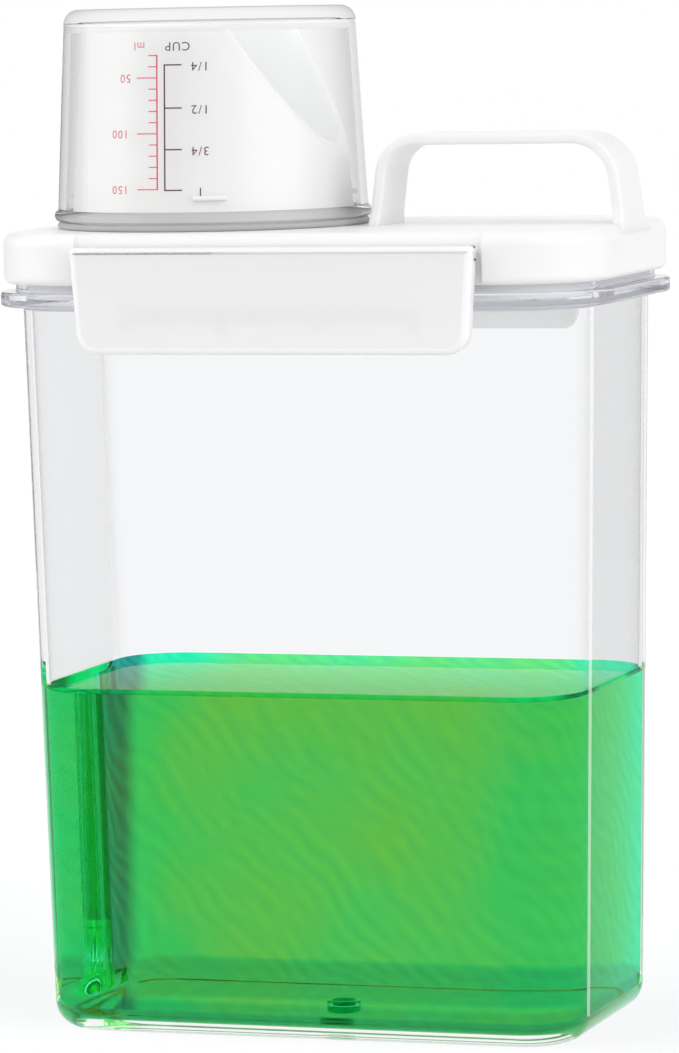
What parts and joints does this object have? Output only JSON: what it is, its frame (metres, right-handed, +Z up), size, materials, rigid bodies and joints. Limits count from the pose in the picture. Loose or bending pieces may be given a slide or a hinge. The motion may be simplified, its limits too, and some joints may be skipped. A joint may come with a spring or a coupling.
{
  "type": "laundry detergent dispenser",
  "caption": "Clear drafted container with green liquid, a white latched lid with carry handle and slanted pour spout, and a clear measuring cup capping the spout.",
  "frame": {"origin": "middle of the base, on the surface it stands on", "axes": "+Z up, +X towards the handle's end, -Y towards the front latch"},
  "size_m": [0.1484, 0.1008, 0.2396],
  "materials": {
    "clear_container": "clear polished moulding",
    "green_detergent": "translucent green liquid",
    "white_lid": "satin moulded polypropylene",
    "silicone_ring": "translucent grey silicone",
    "clear_cup": "clear polished moulding with a printed scale",
    "white_latch": "satin moulded polypropylene"
  },
  "bodies": {
    "pack": {"container": "clear_container", "detergent": "green_detergent", "lid": "white_lid", "lid_gasket": "silicone_ring", "spout_seal": "silicone_ring"},
    "cup": {"measuring_cup": "clear_cup"},
    "front_flap": {"front_latch": "white_latch"},
    "rear_flap": {"rear_latch": "white_latch"}
  },
  "joints": [
    {"name": "cup_lift", "type": "slide", "parent": "pack", "child": "cup", "axis": [0, 0, 1], "range_m": [0, 0.06]},
    {"name": "front_latch_hinge", "type": "hinge", "parent": "pack", "child": "front_flap", "pos_m": [0, -0.0468, 0.1835], "axis": [-1, 0, 0], "range_deg": [0, 105]},
    {"name": "rear_latch_hinge", "type": "hinge", "parent": "pack", "child": "rear_flap", "pos_m": [0, 0.0468, 0.1835], "axis": [1, 0, 0], "range_deg": [0, 105]}
  ]
}
